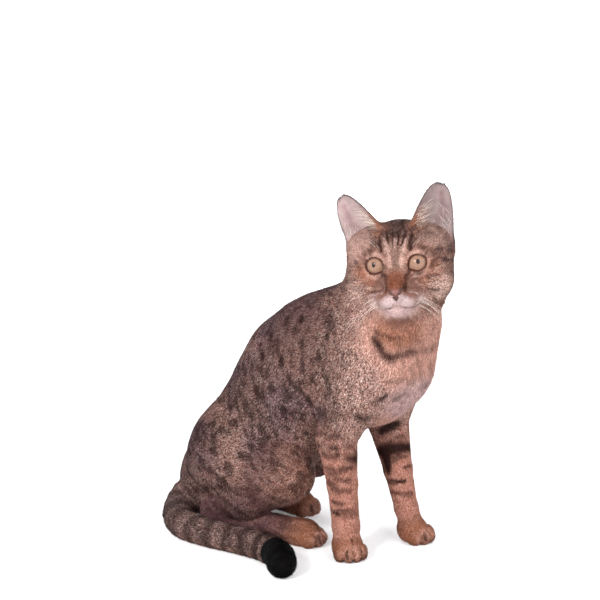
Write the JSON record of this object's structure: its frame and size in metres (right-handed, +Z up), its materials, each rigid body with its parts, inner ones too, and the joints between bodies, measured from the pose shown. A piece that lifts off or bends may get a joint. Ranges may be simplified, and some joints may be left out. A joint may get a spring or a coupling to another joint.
{
  "type": "sitting cat",
  "caption": "Still, life-size model of a young spotted tabby cat, sitting upright with its tail laid round its side and its head turned.",
  "frame": {"origin": "on the floor, at the middle of the cat's bounding box", "axes": "+Z up, -Y the way the body faces, +X the cat's left side"},
  "size_m": [0.231, 0.2858, 0.3404],
  "materials": {
    "coat": "short dense fur, brown with dark spots",
    "face_coat": "very short fur, warm brown and pale",
    "leg_coat": "short fur, tan with dark bars",
    "ear": "thin skin with fine hairs",
    "nose_leather": "damp brick-pink leather",
    "eye": "clear wet gloss",
    "tail_tip": "short black fur"
  },
  "bodies": {
    "root": {"head": "face_coat", "lower_jaw": "face_coat", "nose": "nose_leather", "eye_left": "eye", "eye_right": "eye", "ear_left": "ear", "ear_right": "ear", "neck": "coat", "trunk": "coat", "foreleg_left": "leg_coat", "forepaw_left": "leg_coat", "foreleg_right": "leg_coat", "forepaw_right": "leg_coat", "hindleg_left": "coat", "hindpaw_left": "leg_coat", "hindleg_right": "coat", "hindpaw_right": "leg_coat", "tail_base": "coat", "tail_middle": "coat", "tail_tip": "tail_tip"}
  },
  "joints": []
}
